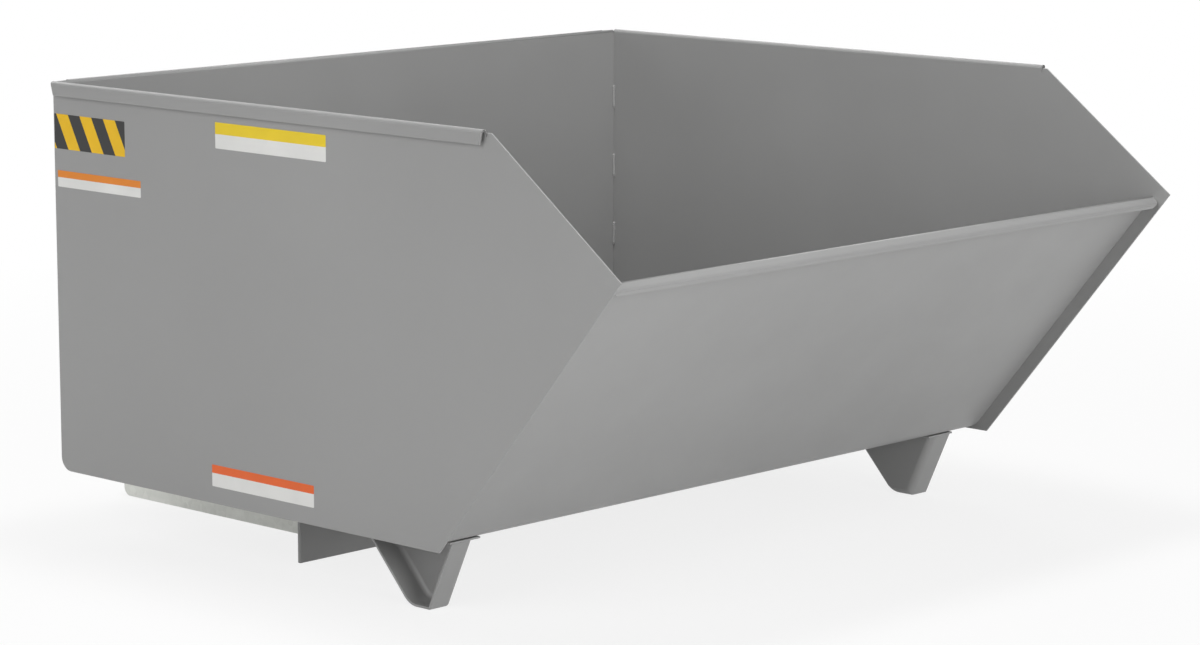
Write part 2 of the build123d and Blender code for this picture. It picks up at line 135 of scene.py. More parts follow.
def crystals(finish, place, scale):
    """A random grey for each crystal of a broken-up pattern."""
    nodes = finish.node_tree.nodes
    cells = nodes.new("ShaderNodeTexVoronoi")
    cells.inputs["Scale"].default_value = scale
    join(finish, place, cells.inputs["Vector"])
    grey = nodes.new("ShaderNodeSeparateColor")
    join(finish, cells.outputs["Color"], grey.inputs["Color"])
    return grey.outputs["Red"]


def spread(finish, value, low, high, start, end):
    """Maps the range start to end of a value to the range low to high."""
    node = finish.node_tree.nodes.new("ShaderNodeMapRange")
    node.inputs["From Min"].default_value = start
    node.inputs["From Max"].default_value = end
    node.inputs["To Min"].default_value = low
    node.inputs["To Max"].default_value = high
    join(finish, value, node.inputs["Value"])
    return node.outputs["Result"]


def mottle(finish, place, scale, detail=2.0, low=0.0, high=1.0, start=0.3, end=0.7):
    """Noise whose range start to end becomes the range low to high."""
    return spread(finish, noise(finish, place, scale, detail), low, high, start, end)


def relief(finish, place, scale, distance, strength, detail=2.0, under=None):
    """Noise as a fine relief of the surface, on top of the relief under it."""
    node = finish.node_tree.nodes.new("ShaderNodeBump")
    node.inputs["Distance"].default_value = distance
    node.inputs["Strength"].default_value = strength
    join(finish, noise(finish, place, scale, detail), node.inputs["Height"])
    if under is not None:
        join(finish, under, node.inputs["Normal"])
    return node.outputs["Normal"]


def reckon(finish, operation, first, second):
    """A Math node on a value and a second value or number."""
    node = finish.node_tree.nodes.new("ShaderNodeMath")
    node.operation = operation
    join(finish, first, node.inputs[0])
    if isinstance(second, bpy.types.NodeSocket):
        join(finish, second, node.inputs[1])
    else:
        node.inputs[1].default_value = second
    return node.outputs["Value"]


def axis_value(finish, place, axis):
    """One coordinate of a place."""
    node = finish.node_tree.nodes.new("ShaderNodeSeparateXYZ")
    join(finish, place, node.inputs["Vector"])
    return node.outputs[axis]


def blend(finish, value, first, second):
    """Blends two colours, or two colour sockets, by a value from 0 to 1."""
    node = finish.node_tree.nodes.new("ShaderNodeMix")
    node.data_type = "RGBA"
    for socket, colour in (("A", first), ("B", second)):
        if isinstance(colour, bpy.types.NodeSocket):
            join(finish, colour, node.inputs[socket])
        else:
            node.inputs[socket].default_value = (*colour, 1.0)
    join(finish, value, node.inputs["Factor"])
    return node.outputs["Result"]


def grey_powder_coat():
    """Satin grey powder coat: nearly even, a fine orange peel over the faint waves of the sheet."""
    finish, shader = new_finish("grey_powder_coat")
    place = object_place(finish)
    clouds = mottle(finish, place, scale=2.3, detail=3.0)
    sheen = mottle(finish, place, scale=9.0, detail=4.0, low=0.42, high=0.52)
    waves = relief(finish, place, scale=3.0, detail=1.0, distance=4 * MM, strength=0.06)
    peel = relief(finish, place, scale=420.0, detail=1.0, distance=0.4 * MM, strength=0.10, under=waves)
    join(finish, blend(finish, clouds, (0.293, 0.293, 0.291), (0.311, 0.311, 0.309)), shader["Base Color"])
    join(finish, sheen, shader["Roughness"])
    join(finish, peel, shader["Normal"])
    return finish


def galvanised_sheet():
    """Bare galvanised steel: pale crystals of slightly different shine, with duller streaks."""
    finish, shader = new_finish("galvanised_sheet")
    place = object_place(finish)
    along = object_place(finish, scale=(3.0, 3.0, 14.0))
    spangle = crystals(finish, place, scale=90.0)
    dull = mottle(finish, along, scale=6.0, detail=4.0, high=0.35)
    sheen = spread(finish, spangle, low=0.40, high=0.56, start=0.0, end=1.0)
    pitting = relief(finish, place, scale=160.0, distance=0.3 * MM, strength=0.10)
    bright = blend(finish, spangle, (0.68, 0.69, 0.65), (0.79, 0.80, 0.76))
    join(finish, blend(finish, dull, bright, (0.55, 0.56, 0.53)), shader["Base Color"])
    shader["Metallic"].default_value = 0.35
    join(finish, sheen, shader["Roughness"])
    join(finish, pitting, shader["Normal"])
    return finish


def zinc_plate():
    """Bright zinc plating on turned pins, washers and wire."""
    finish, shader = new_finish("zinc_plate")
    place = object_place(finish)
    haze = mottle(finish, place, scale=60.0, detail=3.0)
    sheen = mottle(finish, place, scale=140.0, detail=3.0, low=0.28, high=0.42)
    join(finish, blend(finish, haze, (0.56, 0.56, 0.54), (0.68, 0.68, 0.66)), shader["Base Color"])
    shader["Metallic"].default_value = 1.0
    join(finish, sheen, shader["Roughness"])
    return finish


def sintered_bronze():
    """Plain bronze of the bushes, darkened by oil in places."""
    finish, shader = new_finish("sintered_bronze")
    place = object_place(finish)
    oil = mottle(finish, place, scale=45.0, detail=3.0)
    sheen = mottle(finish, place, scale=300.0, low=0.38, high=0.55)
    pores = relief(finish, place, scale=900.0, detail=1.0, distance=0.2 * MM, strength=0.25)
    join(finish, blend(finish, oil, (0.36, 0.23, 0.10), (0.52, 0.35, 0.17)), shader["Base Color"])
    shader["Metallic"].default_value = 1.0
    join(finish, sheen, shader["Roughness"])
    join(finish, pores, shader["Normal"])
    return finish


MOULDED_SHEEN = 0.06  # how far the roughness of a moulding strays to each side


def dark_moulding(name, dark, light, roughness, grain):
    """Black moulded rubber or vinyl with a fine grain."""
    finish, shader = new_finish(name)
    place = object_place(finish)
    dust = mottle(finish, place, scale=30.0, detail=4.0, start=0.35, end=0.75)
    dullest, shiniest = roughness + MOULDED_SHEEN, roughness - MOULDED_SHEEN
    sheen = mottle(finish, place, scale=55.0, detail=3.0, low=shiniest, high=dullest)
    texture = relief(finish, place, scale=grain, distance=0.3 * MM, strength=0.30)
    join(finish, blend(finish, dust, dark, light), shader["Base Color"])
    join(finish, sheen, shader["Roughness"])
    join(finish, texture, shader["Normal"])
    return finish


INK_FADE = 0.93  # how dull an ink gets at most, as a share of its colour


def printed_film(name):
    """Vinyl film with a soft sheen, and a value for the slight dulling of its inks."""
    finish, shader = new_finish(name)
    place = object_place(finish)
    sheen = mottle(finish, place, scale=25.0, detail=3.0, low=0.34, high=0.46)
    ripples = relief(finish, place, scale=40.0, distance=0.6 * MM, strength=0.06)
    fading = mottle(finish, place, scale=18.0, detail=3.0)
    shader["Specular IOR Level"].default_value = 0.3
    join(finish, sheen, shader["Roughness"])
    join(finish, ripples, shader["Normal"])
    return finish, shader, place, fading


def ink(finish, fading, colour):
    """A printed colour, slightly dulled in places."""
    return blend(finish, fading, colour, [c * INK_FADE for c in colour])


def two_tone_film(name, split, header, field):
    """A blank label: a coloured header above the height split, a pale field below it."""
    finish, shader, place, fading = printed_film(name)
    above = reckon(finish, "GREATER_THAN", axis_value(finish, place, "Z"), split)
    tones = [ink(finish, fading, colour) for colour in (field, header)]
    join(finish, blend(finish, above, *tones), shader["Base Color"])
    return finish


def striped_film(name, pitch, slant, dark, light):
    """Plain diagonal stripes."""
    finish, shader, place, fading = printed_film(name)
    across = axis_value(finish, object_place(finish, turn=(0.0, slant, 0.0)), "X")
    lit = reckon(finish, "GREATER_THAN", reckon(finish, "PINGPONG", across, pitch), pitch / 2)
    join(finish, blend(finish, lit, dark, ink(finish, fading, light)), shader["Base Color"])
    return finish


FINISHES = {
    "grey_paint": grey_powder_coat(),
    "galvanised": galvanised_sheet(),
    "zinc_hardware": zinc_plate(),
    "bronze": sintered_bronze(),
    "rubber": dark_moulding("black_rubber", (0.018, 0.018, 0.018), (0.035, 0.034, 0.032), 0.74, 500.0),
    "grip_plastic": dark_moulding("black_vinyl", (0.016, 0.016, 0.017), (0.028, 0.028, 0.028), 0.52, 700.0),
}


# Making pieces
def make_piece(name, shape, body, finish, smooth=True):
    """Turns a finished bmesh into a piece that moves with a body."""
    mesh = bpy.data.meshes.new(name)
    shape.to_mesh(mesh)
    shape.free()
    mesh.materials.append(finish)
    mesh.polygons.foreach_set("use_smooth", [smooth] * len(mesh.polygons))
    piece = bpy.data.objects.new(name, mesh)
    bpy.context.scene.collection.objects.link(piece)
    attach(piece, body)
    return piece


def slotted_piece(name, shape, body, slot):
    """A piece with the finish of one of the part's material slots; flat faces shade flat, bends round."""
    piece = make_piece(name, shape, body, FINISHES[slot])
    piece.modifiers.new("flat_faces", "WEIGHTED_NORMAL").weight = 100
    return piece


def spun(profile, axis):
    """A turned shape: the profile's edges, closed or from axis to axis, spun once round the axis."""
    shape = bmesh.new()
    verts = [shape.verts.new(point) for point in profile]
    edges = [shape.edges.new(pair) for pair in zip(verts, verts[1:])]
    bmesh.ops.spin(
        shape,
        geom=verts + edges,
        cent=(0, 0, 0),
        axis=axis,
        angle=math.tau,
        steps=TURNED_STEPS,
        use_merge=True,
    )
    bmesh.ops.remove_doubles(shape, verts=shape.verts, dist=MERGE)
    bmesh.ops.recalc_face_normals(shape, faces=shape.faces)
    return shape


# Steel pieces: the CAD shapes with their sharp edges eased, as cut and coated steel has them
FLAT_ANGLE = math.radians(0.5)  # facets that turn by less than this become one face
SHARP_EDGE = math.radians(35)
EASE = 0.8 * MM
EASE_OF = {
    "body_wrap": 1.1 * MM,
    "side_panel": 0.7 * MM,
    "fork_channel": 0.7 * MM,
    "leg_pad": 0.6 * MM,
    "hinge_bush": 0.4 * MM,
    "latch_bush": 0.4 * MM,
    "rear_cross_tube": 0.4 * MM,
}
FOLDED_SHEETS = ("body_wrap", "side_panel")
SHORTEST_FOLDED_EDGE = 1.2 * MM
MOULDED = ("rest_bumper", "latch_grip")


def eased_piece(node, body, slot):
    """A CAD piece with its sharp edges eased."""
    shape = bmesh.new()
    shape.from_mesh(frame["nodes"][node].data)
    bmesh.ops.remove_doubles(shape, verts=shape.verts, dist=MERGE)
    bmesh.ops.dissolve_limit(shape, angle_limit=FLAT_ANGLE, verts=shape.verts, edges=shape.edges)
    shortest = SHORTEST_FOLDED_EDGE if node.startswith(FOLDED_SHEETS) else 0.0
    sharp = [e for e in shape.edges if e.calc_face_angle(0.0) > SHARP_EDGE and e.calc_length() > shortest]
    radius = next((r for stem, r in EASE_OF.items() if node.startswith(stem)), EASE)
    bmesh.ops.bevel(
        shape,
        geom=sharp,
        offset=radius,
        segments=2,
        profile=0.5,
        affect="EDGES",
        material=-1,
        clamp_overlap=False,
    )
    piece = slotted_piece(f"{node}_eased", shape, body, slot)
    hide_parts(node)


slot_of = {row["node"]: row["material_slot"] for row in frame["record"]["subparts"]}
for body, nodes in frame["record"]["behaviour"]["bodies"].items():
    for node in nodes:
        if not node.startswith(MOULDED):
            eased_piece(node, body, slot_of[node])


# Washers and split pins that keep the hinge pins and the latch pin in place
HINGE_PIN_RADIUS = 10 * MM
LATCH_PIN_RADIUS = 6 * MM
WASHER_THICKNESS = 3 * MM
WASHER_RIM = 8 * MM
WASHER_EASE = 0.5 * MM
WASHER_PLAY = 0.1 * MM
WIRE = 1.0 * MM
EYE = 4.0 * MM  # half the width of the eye's route
EYE_NECK = 1.5 * MM  # top of the pin to the neck of the eye
EYE_CREST = 2.6  # height of the route's highest point above the neck, as a multiple of EYE
TAIL_NECK = 2 * MM  # underside of the pin to where the tails bend apart
TAIL_REACHES = (7 * MM, 8 * MM)
TAIL_DROPS = (6 * MM, 5 * MM)
SPLIT_PIN_GAP = 2.35 * MM


def washer(name, centre, way, hole):
    """A flat washer that lies against centre, on the side that way points to."""
    rim = hole + WASHER_RIM
    ease, far = WASHER_EASE, WASHER_THICKNESS
    outline = [(hole, 0), (rim - ease, 0), (rim, ease), (rim, far - ease), (rim - ease, far), (hole, far)]
    outline.append(outline[0])
    shape = spun([(r, way * depth, 0) for r, depth in outline], Y)
    bmesh.ops.translate(shape, verts=shape.verts, vec=centre)
    slotted_piece(name, shape, "base", "zinc_hardware")


def split_pin(name, centre, pin_radius):
    """A split pin of bent wire through a pin: the eye on top, two tails bent apart below."""
    top, foot = pin_radius + EYE_NECK, -pin_radius - TAIL_NECK
    route = [
        (-TAIL_REACHES[0], foot - TAIL_DROPS[0]),
        (-WIRE, foot),
        (-WIRE, top),
        (-EYE, top + EYE),
        (0, top + EYE_CREST * EYE),
        (EYE, top + EYE),
        (WIRE, top),
        (WIRE, foot),
        (TAIL_REACHES[1], foot - TAIL_DROPS[1]),
    ]
    curve = bpy.data.curves.new(name, "CURVE")
    curve.dimensions = "3D"
    curve.bevel_depth = WIRE
    curve.bevel_resolution = 3
    curve.use_fill_caps = True
    spline = curve.splines.new("NURBS")
    spline.points.add(len(route) - 1)
    for point, (x, z) in zip(spline.points, route):
        point.co = (centre.x + x, centre.y, centre.z + z, 1.0)
    spline.order_u = 3
    spline.use_endpoint_u = True
    holder = bpy.data.objects.new(name, curve)
    shape = bmesh.new()
    shape.from_mesh(holder.to_mesh())
    bmesh.ops.remove_doubles(shape, verts=shape.verts, dist=MERGE)
    bpy.data.objects.remove(holder)
    bpy.data.curves.remove(curve)
    slotted_piece(f"{name}_wire", shape, "base", "zinc_hardware")


def retainer(stem, pin, radius, seat, way):
    """The washer and split pin on the tail of a pin; seat is the Y that the washer lies against."""
    low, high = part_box(pin)
    middle = (low + high) / 2
    washer(f"{stem}_washer", Vector((middle.x, seat, middle.z)), way, radius + WASHER_PLAY)
    beyond = seat + way * (WASHER_THICKNESS + SPLIT_PIN_GAP)
    split_pin(f"{stem}_split_pin", Vector((middle.x, beyond, middle.z)), radius)


retainer("hinge_right", "hinge_pin_right", HINGE_PIN_RADIUS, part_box("hinge_ear_inner_right")[1].y, 1)
retainer("hinge_left", "hinge_pin_left", HINGE_PIN_RADIUS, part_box("hinge_ear_inner_left")[0].y, -1)
retainer("latch", "latch_pin", LATCH_PIN_RADIUS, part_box("latch_cheek_left")[1].y, 1)


# Rubber rest bumpers: a foot flange, a grooved waist and a rounded top with a screw well
BUMPER_PROFILE = [
    (0.0, 0.0), (1.0, 0.0), (1.0, 0.14), (0.95, 0.19), (0.90, 0.24), (0.88, 0.48), (0.84, 0.53),
    (0.84, 0.60), (0.87, 0.65), (0.85, 0.86), (0.79, 0.95), (0.68, 1.0), (0.26, 1.0), (0.23, 0.97),
    (0.22, 0.70), (0.0, 0.70),
]  # shares of the radius and of the height


def rest_bumper(node):
    """A turned bumper that fills the box of its CAD piece."""
    low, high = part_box(node)
    middle = (low + high) / 2
    radius, height = (high.x - low.x) / 2, high.z - low.z
    shape = spun([(radius * r, 0, height * z) for r, z in BUMPER_PROFILE], Z)
    bmesh.ops.translate(shape, verts=shape.verts, vec=(middle.x, middle.y, low.z))
    piece = slotted_piece(f"{node}_moulded", shape, "base", "rubber")
    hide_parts(node)


for side in SIDES:
    rest_bumper(f"rest_bumper_{side}")


# Latch grip: a moulded sleeve with finger ribs and a rounded cap
LATCH_LEAN = math.radians(16)
GRIP_FOOT = 194.1 * MM  # latch pin to the lower end of the grip, along the lever
GRIP_LENGTH = 112 * MM
GRIP_WIDTH, GRIP_DEPTH = 21 * MM, 39 * MM
GRIP_CORNER = 6.5 * MM
GRIP_CORNER_STEPS = 6
GRIP_COLLAR = 9 * MM
GRIP_RIBS = 9
GRIP_RIB_PITCH = 8 * MM
GROOVE_SIZE = 0.93  # size of the grip in a groove between two ribs, as a share of the whole grip
GROOVE_SLOPE = 1.2 * MM
GROOVE_FLOOR = 1.4 * MM
GRIP_CAP = ((3 * MM, 0.97), (2.2 * MM, 0.92), (1.2 * MM, 0.84), (0.6 * MM, 0.70))  # rise and growth


def rounded_sheet(width, height, corner, steps):
    """A flat rectangle with rounded corners."""
    shape = bmesh.new()
    bmesh.ops.create_grid(shape, x_segments=1, y_segments=1, size=0.5)
    bmesh.ops.scale(shape, verts=shape.verts, vec=(width, height, 1.0))
    bmesh.ops.bevel(
        shape,
        geom=shape.verts[:],
        offset=corner,
        segments=steps,
        profile=0.5,
        affect="VERTICES",
        material=-1,
    )
    return shape


def raise_top(shape, top, rise, growth=1.0):
    """Raises the top face by one step and scales it; returns the new top face."""
    top = bmesh.ops.extrude_discrete_faces(shape, faces=[top])["faces"][0]
    bmesh.ops.translate(shape, verts=top.verts, vec=(0, 0, rise))
    bmesh.ops.scale(shape, verts=top.verts, vec=(growth, growth, 1.0))
    return top


def latch_grip():
    """The grip, raised step by step from its foot and stood on the leaning lever."""
    shape = rounded_sheet(GRIP_WIDTH, GRIP_DEPTH, GRIP_CORNER, GRIP_CORNER_STEPS)
    raised = bmesh.ops.extrude_face_region(shape, geom=shape.faces[:])["geom"]
    top = next(g for g in raised if isinstance(g, bmesh.types.BMFace))
    bmesh.ops.translate(shape, verts=top.verts, vec=(0, 0, GRIP_COLLAR))
    rib_width = GRIP_RIB_PITCH - 2 * GROOVE_SLOPE - GROOVE_FLOOR
    for _ in range(GRIP_RIBS):
        top = raise_top(shape, top, GROOVE_SLOPE, GROOVE_SIZE)
        top = raise_top(shape, top, GROOVE_FLOOR)
        top = raise_top(shape, top, GROOVE_SLOPE, 1.0 / GROOVE_SIZE)
        top = raise_top(shape, top, rib_width)
    cap_height = sum(rise for rise, growth in GRIP_CAP)
    plain = GRIP_LENGTH - GRIP_COLLAR - GRIP_RIBS * GRIP_RIB_PITCH - cap_height
    top = raise_top(shape, top, plain)
    for rise, growth in GRIP_CAP:
        top = raise_top(shape, top, rise, growth)
    pin_low, pin_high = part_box("latch_pin")
    pin = (pin_low + pin_high) / 2
    up = Vector((-math.sin(LATCH_LEAN), 0, math.cos(LATCH_LEAN)))
    stand = Matrix((Y, up.cross(Y), up)).transposed().to_4x4()
    stand.translation = Vector((pin.x, 0, pin.z)) + up * GRIP_FOOT
    bmesh.ops.transform(shape, matrix=stand, verts=shape.verts)
    bmesh.ops.recalc_face_normals(shape, faces=shape.faces)
    piece = slotted_piece("latch_grip_ribbed", shape, "latch", "grip_plastic")
    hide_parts("latch_grip")


latch_grip()


# Blank labels on the right side panel
YELLOW, LEMON = (0.86, 0.52, 0.015), (0.84, 0.62, 0.03)
ORANGE, RED_ORANGE = (0.78, 0.25, 0.03), (0.80, 0.14, 0.03)
BLACK, WHITE = (0.03, 0.03, 0.03), (0.78, 0.78, 0.76)
DECAL_THICKNESS = 0.25 * MM
DECAL_CORNER = 1.5 * MM
DECAL_CORNER_STEPS = 4
STRIPE_PITCH = 26 * MM
STRIPE_SLANT = 28.0  # degrees


def decal(name, finish, start, bottom, width, height):
    """A thin film with rounded corners; start is from the panel's rear edge, bottom from its lower edge."""
    shape = rounded_sheet(width, height, DECAL_CORNER, DECAL_CORNER_STEPS)
    raised = bmesh.ops.extrude_face_region(shape, geom=shape.faces[:])["geom"]
    top = [g for g in raised if isinstance(g, bmesh.types.BMVert)]
    bmesh.ops.translate(shape, verts=top, vec=(0, 0, DECAL_THICKNESS))
    middle = Vector((panel_low.x + start + width / 2, -half_width, panel_low.z + bottom + height / 2))
    stand = Matrix.Translation(middle) @ Matrix.Rotation(math.radians(90), 4, "X")
    bmesh.ops.transform(shape, matrix=stand, verts=shape.verts)
    bmesh.ops.recalc_face_normals(shape, faces=shape.faces)
    make_piece(name, shape, "hopper", finish, smooth=False)


def label(name, header, header_share, start, bottom, width, height):
    """A blank two-tone label with a coloured header."""
    split = panel_low.z + bottom + height * (1 - header_share)
    finish = two_tone_film(f"{name}_film", split, header, WHITE)
    decal(name, finish, start, bottom, width, height)


stripes = striped_film("striped_film", STRIPE_PITCH, STRIPE_SLANT, BLACK, YELLOW)
decal("striped_decal", stripes, start=2 * MM, bottom=527 * MM, width=176 * MM, height=56 * MM)
label("upper_label", LEMON, 0.45, start=396.5 * MM, bottom=559 * MM, width=251.5 * MM, height=40.5 * MM)
label("rear_label", ORANGE, 0.42, start=8 * MM, bottom=465.5 * MM, width=207 * MM, height=26.5 * MM)
label("lower_label", RED_ORANGE, 0.38, start=376 * MM, bottom=27.6 * MM, width=236 * MM, height=34.4 * MM)


# Welds
WELD_PITCH = 3.2 * MM
RINGS_PER_RIPPLE = 4
FEWEST_RINGS = 8
WELD_RIPPLE = 0.10
WELD_START = 0.55  # size of a bead at its ends, as a share of its leg
WELD_GROWTH = 0.15  # how much it grows with each ring
WELD_HOLLOW = 0.2
WELD_ARC_STEPS = 4

# Leg and length of the stitches
INNER_STITCH = (3.5 * MM, 42 * MM)
OUTER_STITCH = (1.9 * MM, 36 * MM)
LEG_PAD_STITCH = (3 * MM, 40 * MM)
LEG_STITCH = (4 * MM, 38 * MM)
HINGE_PAD_STITCH = (4.5 * MM, 48 * MM)
CHANNEL_STITCH = (5 * MM, 50 * MM)

# Leg of the welds that run through
LUG_WELD = 5 * MM
STRIKER_WELD = 4 * MM
EAR_WELD = 3.5 * MM
CHANNEL_WELD = 5 * MM
CHEEK_WELD = 4 * MM
STRAP_WELD = 4 * MM

# What the welds leave free at the ends of their seams
SEAM_END = 60 * MM
LEG_REAR_END, LEG_FRONT_END = 14 * MM, 6 * MM
LUG_END = 6 * MM
STRIKER_END = 4 * MM
EAR_END = 2 * MM
CHANNEL_END = 12 * MM
CHANNEL_WELD_TOP = 62 * MM  # height of the upper ends of the channels' upright welds
CHEEK_LOWER_END, CHEEK_UPPER_END = 8 * MM, 4 * MM


def weld(welds, start, end, first, second, leg):
    """A rippled fillet weld; first and second point along the two faces, away from the corner."""
    run = end - start
    rings = max(FEWEST_RINGS, round(run.length / WELD_PITCH * RINGS_PER_RIPPLE))
    bead = bmesh.new()
    section = [bead.verts.new((0, 0, 0))]
    for step in range(WELD_ARC_STEPS + 1):
        turn = math.pi / 2 * step / WELD_ARC_STEPS
        reach = leg * (1 - WELD_HOLLOW * math.sin(2 * turn))
        section.append(bead.verts.new((0, reach * math.cos(turn), reach * math.sin(turn))))
    edges = bead.faces.new(section).edges[:]
    before = 1.0
    for ring in range(1, rings + 1):
        taper = min(1.0, WELD_START + WELD_GROWTH * min(ring, rings - ring))
        size = taper * (1 + WELD_RIPPLE * math.sin(math.tau * ring / RINGS_PER_RIPPLE))
        grown = bmesh.ops.extrude_edge_only(bead, edges=edges)["geom"]
        verts = {g for g in grown if isinstance(g, bmesh.types.BMVert)}
        bmesh.ops.translate(bead, verts=list(verts), vec=(run.length / rings, 0, 0))
        bmesh.ops.scale(bead, verts=list(verts), vec=(1.0, size / before, size / before))
        edges = [g for g in grown if isinstance(g, bmesh.types.BMEdge) and set(g.verts) <= verts]
        before = size
    bmesh.ops.holes_fill(bead, edges=edges, sides=len(edges))
    place = Matrix((run.normalized(), first, second)).transposed().to_4x4()
    place.translation = start
    bmesh.ops.transform(bead, matrix=place, verts=bead.verts)
    spare = bpy.data.meshes.new("bead")
    bead.to_mesh(spare)
    bead.free()
    welds.from_mesh(spare)
    bpy.data.meshes.remove(spare)


def stitches(welds, start, end, first, second, leg, length, count):
    """Evenly spaced short welds along a seam."""
    run = end - start
    half = run.normalized() * length / 2
    for i in range(count):
        middle = start + run * ((i + 0.5) / count)
        weld(welds, middle - half, middle + half, first, second, leg)


def at(x, y, z):
    """A point of the part."""
    return Vector((x, y, z))


def both_faces(low, high):
    """The right and left faces of a plate, each with the direction that it faces."""
    return (low.y, -Y), (high.y, Y)


def body_seams(welds):
    """Stitches inside and outside, where the wrap meets the side panels."""
    inside_chute = -chute_out * (CHUTE_INSET + SHEET)
    chute_foot = at(bottom_corner.x, 0, bottom_corner.z) + inside_chute
    chute_head = at(lip_corner.x, 0, lip_corner.z) + inside_chute
    low, high = chute_foot + chute_up * SEAM_END, chute_head - chute_up * SEAM_END
    foot, head = Z * (floor_inside + SEAM_END), Z * (panel_high.z - SEAM_END)
    rear, front = X * (wall_inside + SEAM_END), X * (chute_foot.x - SEAM_END)
    for hand in (-1, 1):
        inwards = Y * -hand
        panel = Y * (hand * inner_half)
        corner = panel + X * wall_inside
        stitches(welds, corner + foot, corner + head, X, inwards, *INNER_STITCH, count=4)
        corner = panel + Z * floor_inside
        stitches(welds, corner + rear, corner + front, Z, inwards, *INNER_STITCH, count=6)
        stitches(welds, panel + low, panel + high, -chute_out, inwards, *INNER_STITCH, count=4)
        seam = panel + X * wall_outside
        stitches(welds, seam + foot, seam + head, -X, inwards, *OUTER_STITCH, count=5)
        seam = panel + Z * floor_under
        stitches(welds, seam + rear, seam + front, -Z, inwards, *OUTER_STITCH, count=6)


def under_body_welds(welds, side):
    """Welds of the pads, the leg, the hinge lug and the striker bracket on one side."""
    pad_low, pad_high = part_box(f"leg_pad_{side}")
    for y, outwards in both_faces(pad_low, pad_high):
        rear, front = at(pad_low.x, y, floor_under), at(pad_high.x, y, floor_under)
        stitches(welds, rear, front, outwards, -Z, *LEG_PAD_STITCH, count=3)
    leg_low, leg_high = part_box(f"leg_pan_{side}")
    web, inwards = (leg_high.y, Y) if side == "right" else (leg_low.y, -Y)
    rear = at(leg_low.x + LEG_REAR_END, web, pad_low.z)
    front = at(pad_high.x - LEG_FRONT_END, web, pad_low.z)
    stitches(welds, rear, front, inwards, -Z, *LEG_STITCH, count=3)
    low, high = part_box(f"hinge_pad_{side}")
    for y, outwards in both_faces(low, high):
        rear, front = at(low.x, y, floor_under), at(high.x, y, floor_under)
        stitches(welds, rear, front, outwards, -Z, *HINGE_PAD_STITCH, count=2)
    low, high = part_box(f"hinge_lug_{side}")
    for y, outwards in both_faces(low, high):
        rear, front = at(low.x + LUG_END, y, high.z), at(high.x - LUG_END, y, high.z)
        weld(welds, rear, front, outwards, -Z, LUG_WELD)
    low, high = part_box(f"striker_bracket_{side}")
    for y, outwards in both_faces(low, high):
        foot, head = at(wall_outside, y, low.z + STRIKER_END), at(wall_outside, y, high.z - STRIKER_END)
        weld(welds, foot, head, outwards, -X, STRIKER_WELD)


def base_welds(welds, side):
    """Welds of the hinge ears, the fork channel and the latch cheek on one side."""
    plate_low, plate_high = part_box("front_cross_plate")
    tube_low, tube_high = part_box("rear_cross_tube")
    for ear in ("outer", "inner"):
        low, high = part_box(f"hinge_ear_{ear}_{side}")
        for y, outwards in both_faces(low, high):
            foot, head = at(plate_high.x, y, low.z + EAR_END), at(plate_high.x, y, high.z - EAR_END)
            weld(welds, foot, head, outwards, X, EAR_WELD)
    low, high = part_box(f"fork_channel_{side}")
    for y, outwards in both_faces(low, high):
        foot, head = at(plate_low.x, y, CHANNEL_END), at(plate_low.x, y, CHANNEL_WELD_TOP)
        weld(welds, foot, head, outwards, -X, CHANNEL_WELD)
    right, left = low.y + CHANNEL_END, high.y - CHANNEL_END
    seams = ((plate_low.x, Z, -X), (tube_low.x, -X, Z), (tube_high.x, X, Z))
    for x, first, second in seams:
        start, end = at(x, right, high.z), at(x, left, high.z)
        stitches(welds, start, end, first, second, *CHANNEL_STITCH, count=2)
    low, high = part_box(f"latch_cheek_{side}")
    y, outwards = (low.y, -Y) if side == "right" else (high.y, Y)
    foot, head = at(tube_high.x, y, low.z + CHEEK_LOWER_END), at(tube_high.x, y, high.z - CHEEK_UPPER_END)
    weld(welds, foot, head, outwards, X, CHEEK_WELD)


def strap_welds(welds, side):
    """Welds of the straps inside one fork channel."""
    for strap in ("rear_strap", "front_strap"):
        low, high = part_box(f"{strap}_{side}")
        for y, outwards in both_faces(low, high):
            weld(welds, at(low.x, y, high.z), at(high.x, y, high.z), Z, -outwards, STRAP_WELD)


def weld_piece(name, welds, body, slot):
    """All the beads of one finish on one body, as one piece."""
    bmesh.ops.recalc_face_normals(welds, faces=welds.faces)
    piece = make_piece(name, welds, body, FINISHES[slot])


body_beads, base_beads, strap_beads = bmesh.new(), bmesh.new(), bmesh.new()
body_seams(body_beads)
for side in SIDES:
    under_body_welds(body_beads, side)
    base_welds(base_beads, side)
    strap_welds(strap_beads, side)
weld_piece("body_welds", body_beads, "hopper", "grey_paint")
weld_piece("base_welds", base_beads, "base", "grey_paint")
weld_piece("strap_welds", strap_beads, "base", "galvanised")


# Studio
WORLD_LIGHT = 0.15
FLOOR_DROP = 0.5 * MM
FLOOR_HALF = 40.0
FLOOR_PALENESS = 0.90
FLOOR_SHADE = 0.18  # how much of the floor's own shade is seen next to the hopper
FADE_START, FADE_END = 0.9, 3.2  # distances from the middle between which the shade fades out
LAMP_DISTANCE = 5.0
LAMP_SIZE = 2.5


def seen_ray(holder):
    """1 for the rays that show a background: camera, glossy and transmission rays."""
    path = holder.node_tree.nodes.new("ShaderNodeLightPath").outputs
    seen = reckon(holder, "MAXIMUM", path["Is Camera Ray"], path["Is Glossy Ray"])
    return reckon(holder, "MAXIMUM", seen, path["Is Transmission Ray"])


